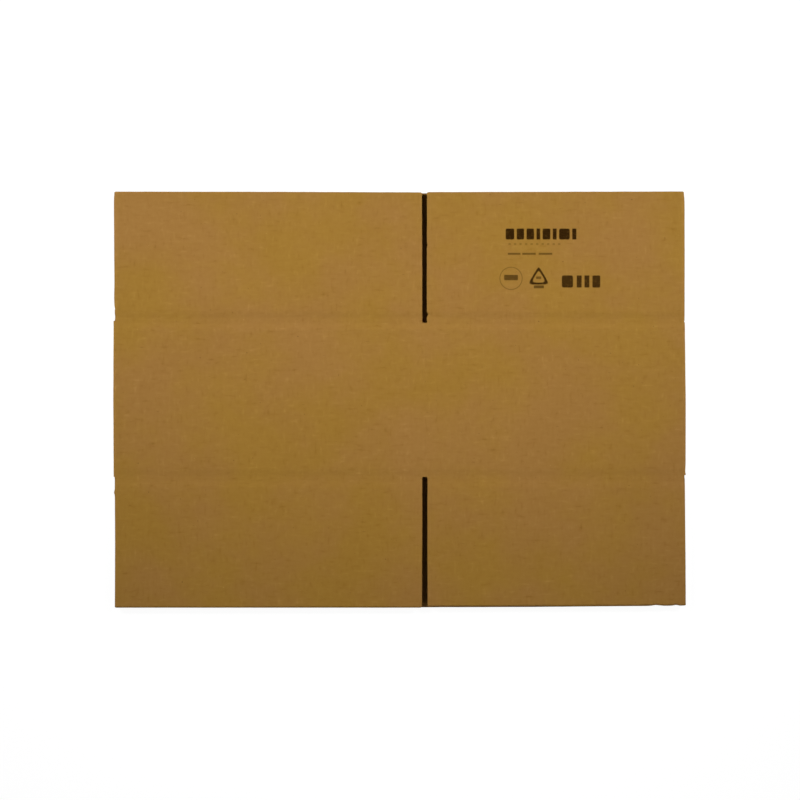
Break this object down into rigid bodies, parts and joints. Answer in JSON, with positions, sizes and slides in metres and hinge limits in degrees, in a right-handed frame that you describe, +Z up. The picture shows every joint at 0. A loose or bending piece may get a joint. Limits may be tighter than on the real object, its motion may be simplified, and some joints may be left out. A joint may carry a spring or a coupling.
{
  "type": "flattened cardboard box",
  "caption": "Knocked-down slotted carton of single-wall corrugated board, lying flat as a glued sleeve, its upper flaps hinged at their creases",
  "frame": {"origin": "middle of the footprint, on the surface that the carton lies on", "axes": "+X along the folded width, towards the short upper wall; +Y along the flutes, towards the printed flap's end; +Z up, out of the upper walls"},
  "size_m": [0.556, 0.404, 0.0083],
  "materials": {
    "kraft_board": "matt brown kraft corrugated board",
    "printed_board": "matt brown kraft corrugated board with a few plain printed marks in dark brown ink"
  },
  "bodies": {
    "carton": {"carton": "kraft_board"},
    "top_long_flap": {"top_long_flap": "kraft_board"},
    "top_short_flap": {"top_short_flap": "printed_board"},
    "bottom_long_flap": {"bottom_long_flap": "kraft_board"},
    "bottom_short_flap": {"bottom_short_flap": "kraft_board"}
  },
  "joints": [
    {"name": "top_long_crease", "type": "hinge", "parent": "carton", "child": "top_long_flap", "pos_m": [-0.12693, 0.0765, 0.00795], "axis": [1, 0, 0], "range_deg": [0, 125]},
    {"name": "top_short_crease", "type": "hinge", "parent": "carton", "child": "top_short_flap", "pos_m": [0.15193, 0.0765, 0.00795], "axis": [1, 0, 0], "range_deg": [0, 125]},
    {"name": "bottom_long_crease", "type": "hinge", "parent": "carton", "child": "bottom_long_flap", "pos_m": [-0.12693, -0.0765, 0.00795], "axis": [-1, 0, 0], "range_deg": [0, 125]},
    {"name": "bottom_short_crease", "type": "hinge", "parent": "carton", "child": "bottom_short_flap", "pos_m": [0.15193, -0.0765, 0.00795], "axis": [-1, 0, 0], "range_deg": [0, 125]}
  ]
}
